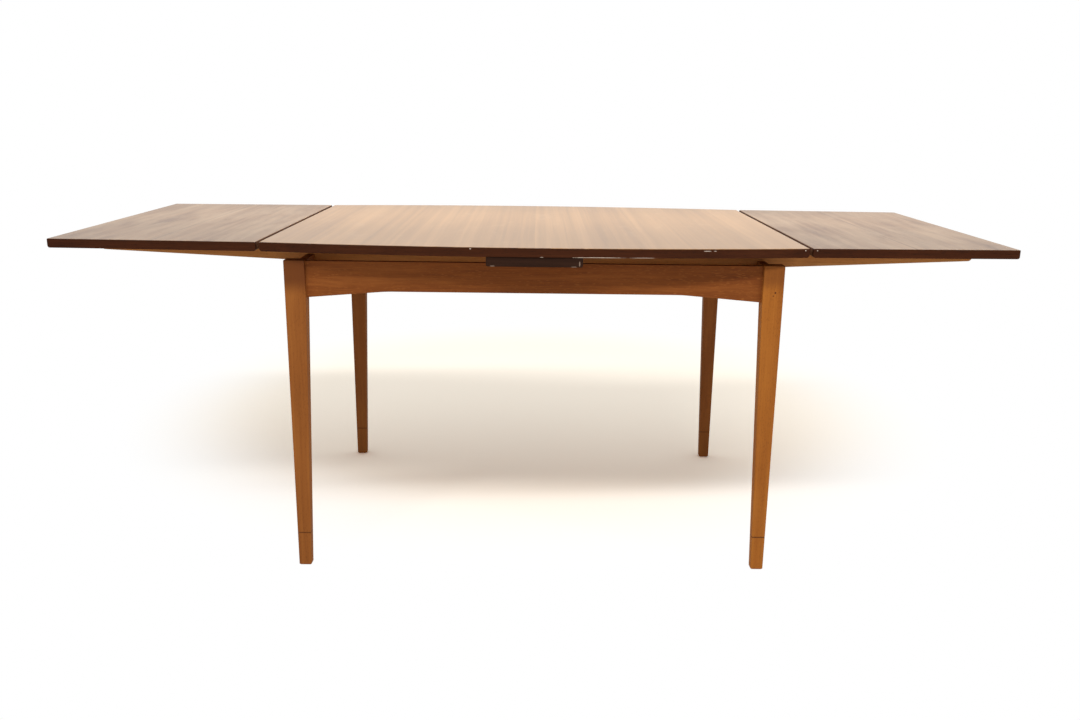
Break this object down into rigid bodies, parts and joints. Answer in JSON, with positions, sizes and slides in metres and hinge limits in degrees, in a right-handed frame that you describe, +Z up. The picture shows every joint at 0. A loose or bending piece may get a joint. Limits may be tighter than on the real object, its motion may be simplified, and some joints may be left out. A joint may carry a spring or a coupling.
{
  "type": "draw leaf table",
  "caption": "Draw leaf dining table: loose bowed top over a fixed centre board, end leaves that slide in on sloping lopers, square tapered legs with spliced feet.",
  "frame": {"origin": "on the floor under the middle of the table", "axes": "+X along the table towards the right leaf, +Y from front to back, +Z up"},
  "size_m": [2.046, 0.8638, 0.74],
  "materials": {
    "top_veneer": "satin",
    "leaf_veneer": "satin",
    "long_lipping": "satin",
    "end_lipping": "satin",
    "board_core": "matte",
    "leg_wood": "satin",
    "apron_wood": "satin",
    "end_rail_wood": "satin",
    "runner_wood": "satin",
    "bearer_wood": "matte",
    "dowel_wood": "matte",
    "screw_steel": "satin"
  },
  "bodies": {
    "frame": {"apron_back": "apron_wood", "apron_front": "apron_wood", "centre_board": "board_core", "centre_board_edge_back": "long_lipping", "centre_board_edge_front": "long_lipping", "centre_board_screws": "screw_steel", "corner_block_back_left": "bearer_wood", "corner_block_back_right": "bearer_wood", "corner_block_front_left": "bearer_wood", "corner_block_front_right": "bearer_wood", "corner_block_screws": "screw_steel", "cross_bearer": "bearer_wood", "end_rail_left": "end_rail_wood", "end_rail_right": "end_rail_wood", "foot_back_left": "leg_wood", "foot_back_right": "leg_wood", "foot_dowels": "dowel_wood", "foot_front_left": "leg_wood", "foot_front_right": "leg_wood", "leg_back_left": "leg_wood", "leg_back_right": "leg_wood", "leg_front_left": "leg_wood", "leg_front_right": "leg_wood"},
    "left_leaf": {"left_leaf_lipping_back": "long_lipping", "left_leaf_lipping_front": "long_lipping", "left_leaf_lipping_inner": "end_lipping", "left_leaf_lipping_outer": "end_lipping", "left_leaf_loper_back": "runner_wood", "left_leaf_loper_front": "runner_wood", "left_leaf_loper_stop_back": "runner_wood", "left_leaf_loper_stop_front": "runner_wood", "left_leaf_panel": "board_core", "left_leaf_screws": "screw_steel", "left_leaf_veneer": "leaf_veneer"},
    "right_leaf": {"right_leaf_lipping_back": "long_lipping", "right_leaf_lipping_front": "long_lipping", "right_leaf_lipping_inner": "end_lipping", "right_leaf_lipping_outer": "end_lipping", "right_leaf_loper_back": "runner_wood", "right_leaf_loper_front": "runner_wood", "right_leaf_loper_stop_back": "runner_wood", "right_leaf_loper_stop_front": "runner_wood", "right_leaf_panel": "board_core", "right_leaf_screws": "screw_steel", "right_leaf_veneer": "leaf_veneer"},
    "top": {"top_lipping_back": "long_lipping", "top_lipping_front": "long_lipping", "top_lipping_left": "end_lipping", "top_lipping_right": "end_lipping", "top_panel": "board_core", "top_peg_back": "dowel_wood", "top_peg_front": "dowel_wood", "top_veneer": "top_veneer"}
  },
  "joints": [
    {"name": "top_lift", "type": "slide", "parent": "frame", "child": "top", "axis": [0, 0, 1], "range_m": [0, 0.76]},
    {"name": "left_leaf_slide", "type": "slide", "parent": "frame", "child": "left_leaf", "axis": [0.999, 0, -0.0444], "range_m": [0, 0.4484]},
    {"name": "right_leaf_slide", "type": "slide", "parent": "frame", "child": "right_leaf", "axis": [-0.999, 0, -0.0444], "range_m": [0, 0.4484]}
  ],
  "couplings": [
    {"joint": "left_leaf_slide", "follows": "top_lift", "ratio": 0.59},
    {"joint": "right_leaf_slide", "follows": "top_lift", "ratio": 0.59}
  ]
}
